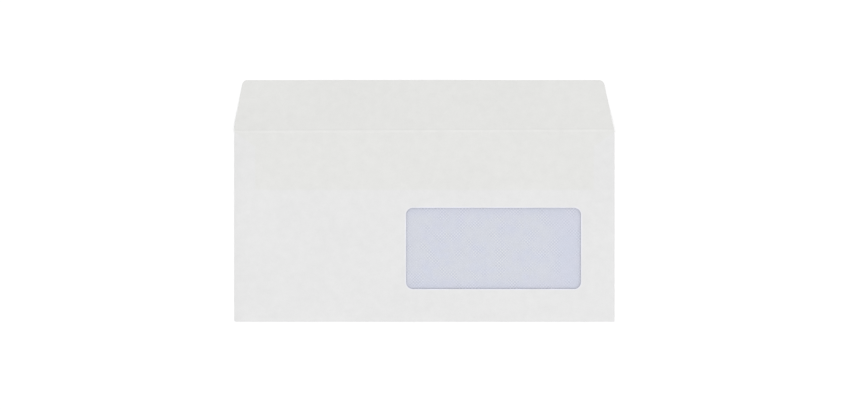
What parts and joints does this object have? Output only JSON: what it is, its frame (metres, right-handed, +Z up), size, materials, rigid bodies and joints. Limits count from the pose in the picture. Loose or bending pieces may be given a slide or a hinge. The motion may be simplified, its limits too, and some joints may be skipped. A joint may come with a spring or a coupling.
{
  "type": "paper envelope",
  "caption": "Long white window envelope, folded from one sheet and glued at its side flaps, lying window side up with its top flap open.",
  "frame": {"origin": "middle of the bounding box in X and Y, on the table that the envelope lies on", "axes": "+X along the long edge, towards the end with the window; +Y from the bottom fold to the tip of the open flap; +Z up, out of the front"},
  "size_m": [0.22, 0.14, 0.0014],
  "materials": {
    "paper": "matte",
    "film": "gloss",
    "glue": "satin",
    "gum": "satin",
    "print": "matte"
  },
  "bodies": {
    "root": {"envelope_paper": "paper", "window_film": "film", "window_glue": "glue", "side_glue_left": "glue", "side_glue_right": "glue", "flap_gum": "gum", "seal_gum": "gum", "inner_print": "print"}
  },
  "joints": []
}
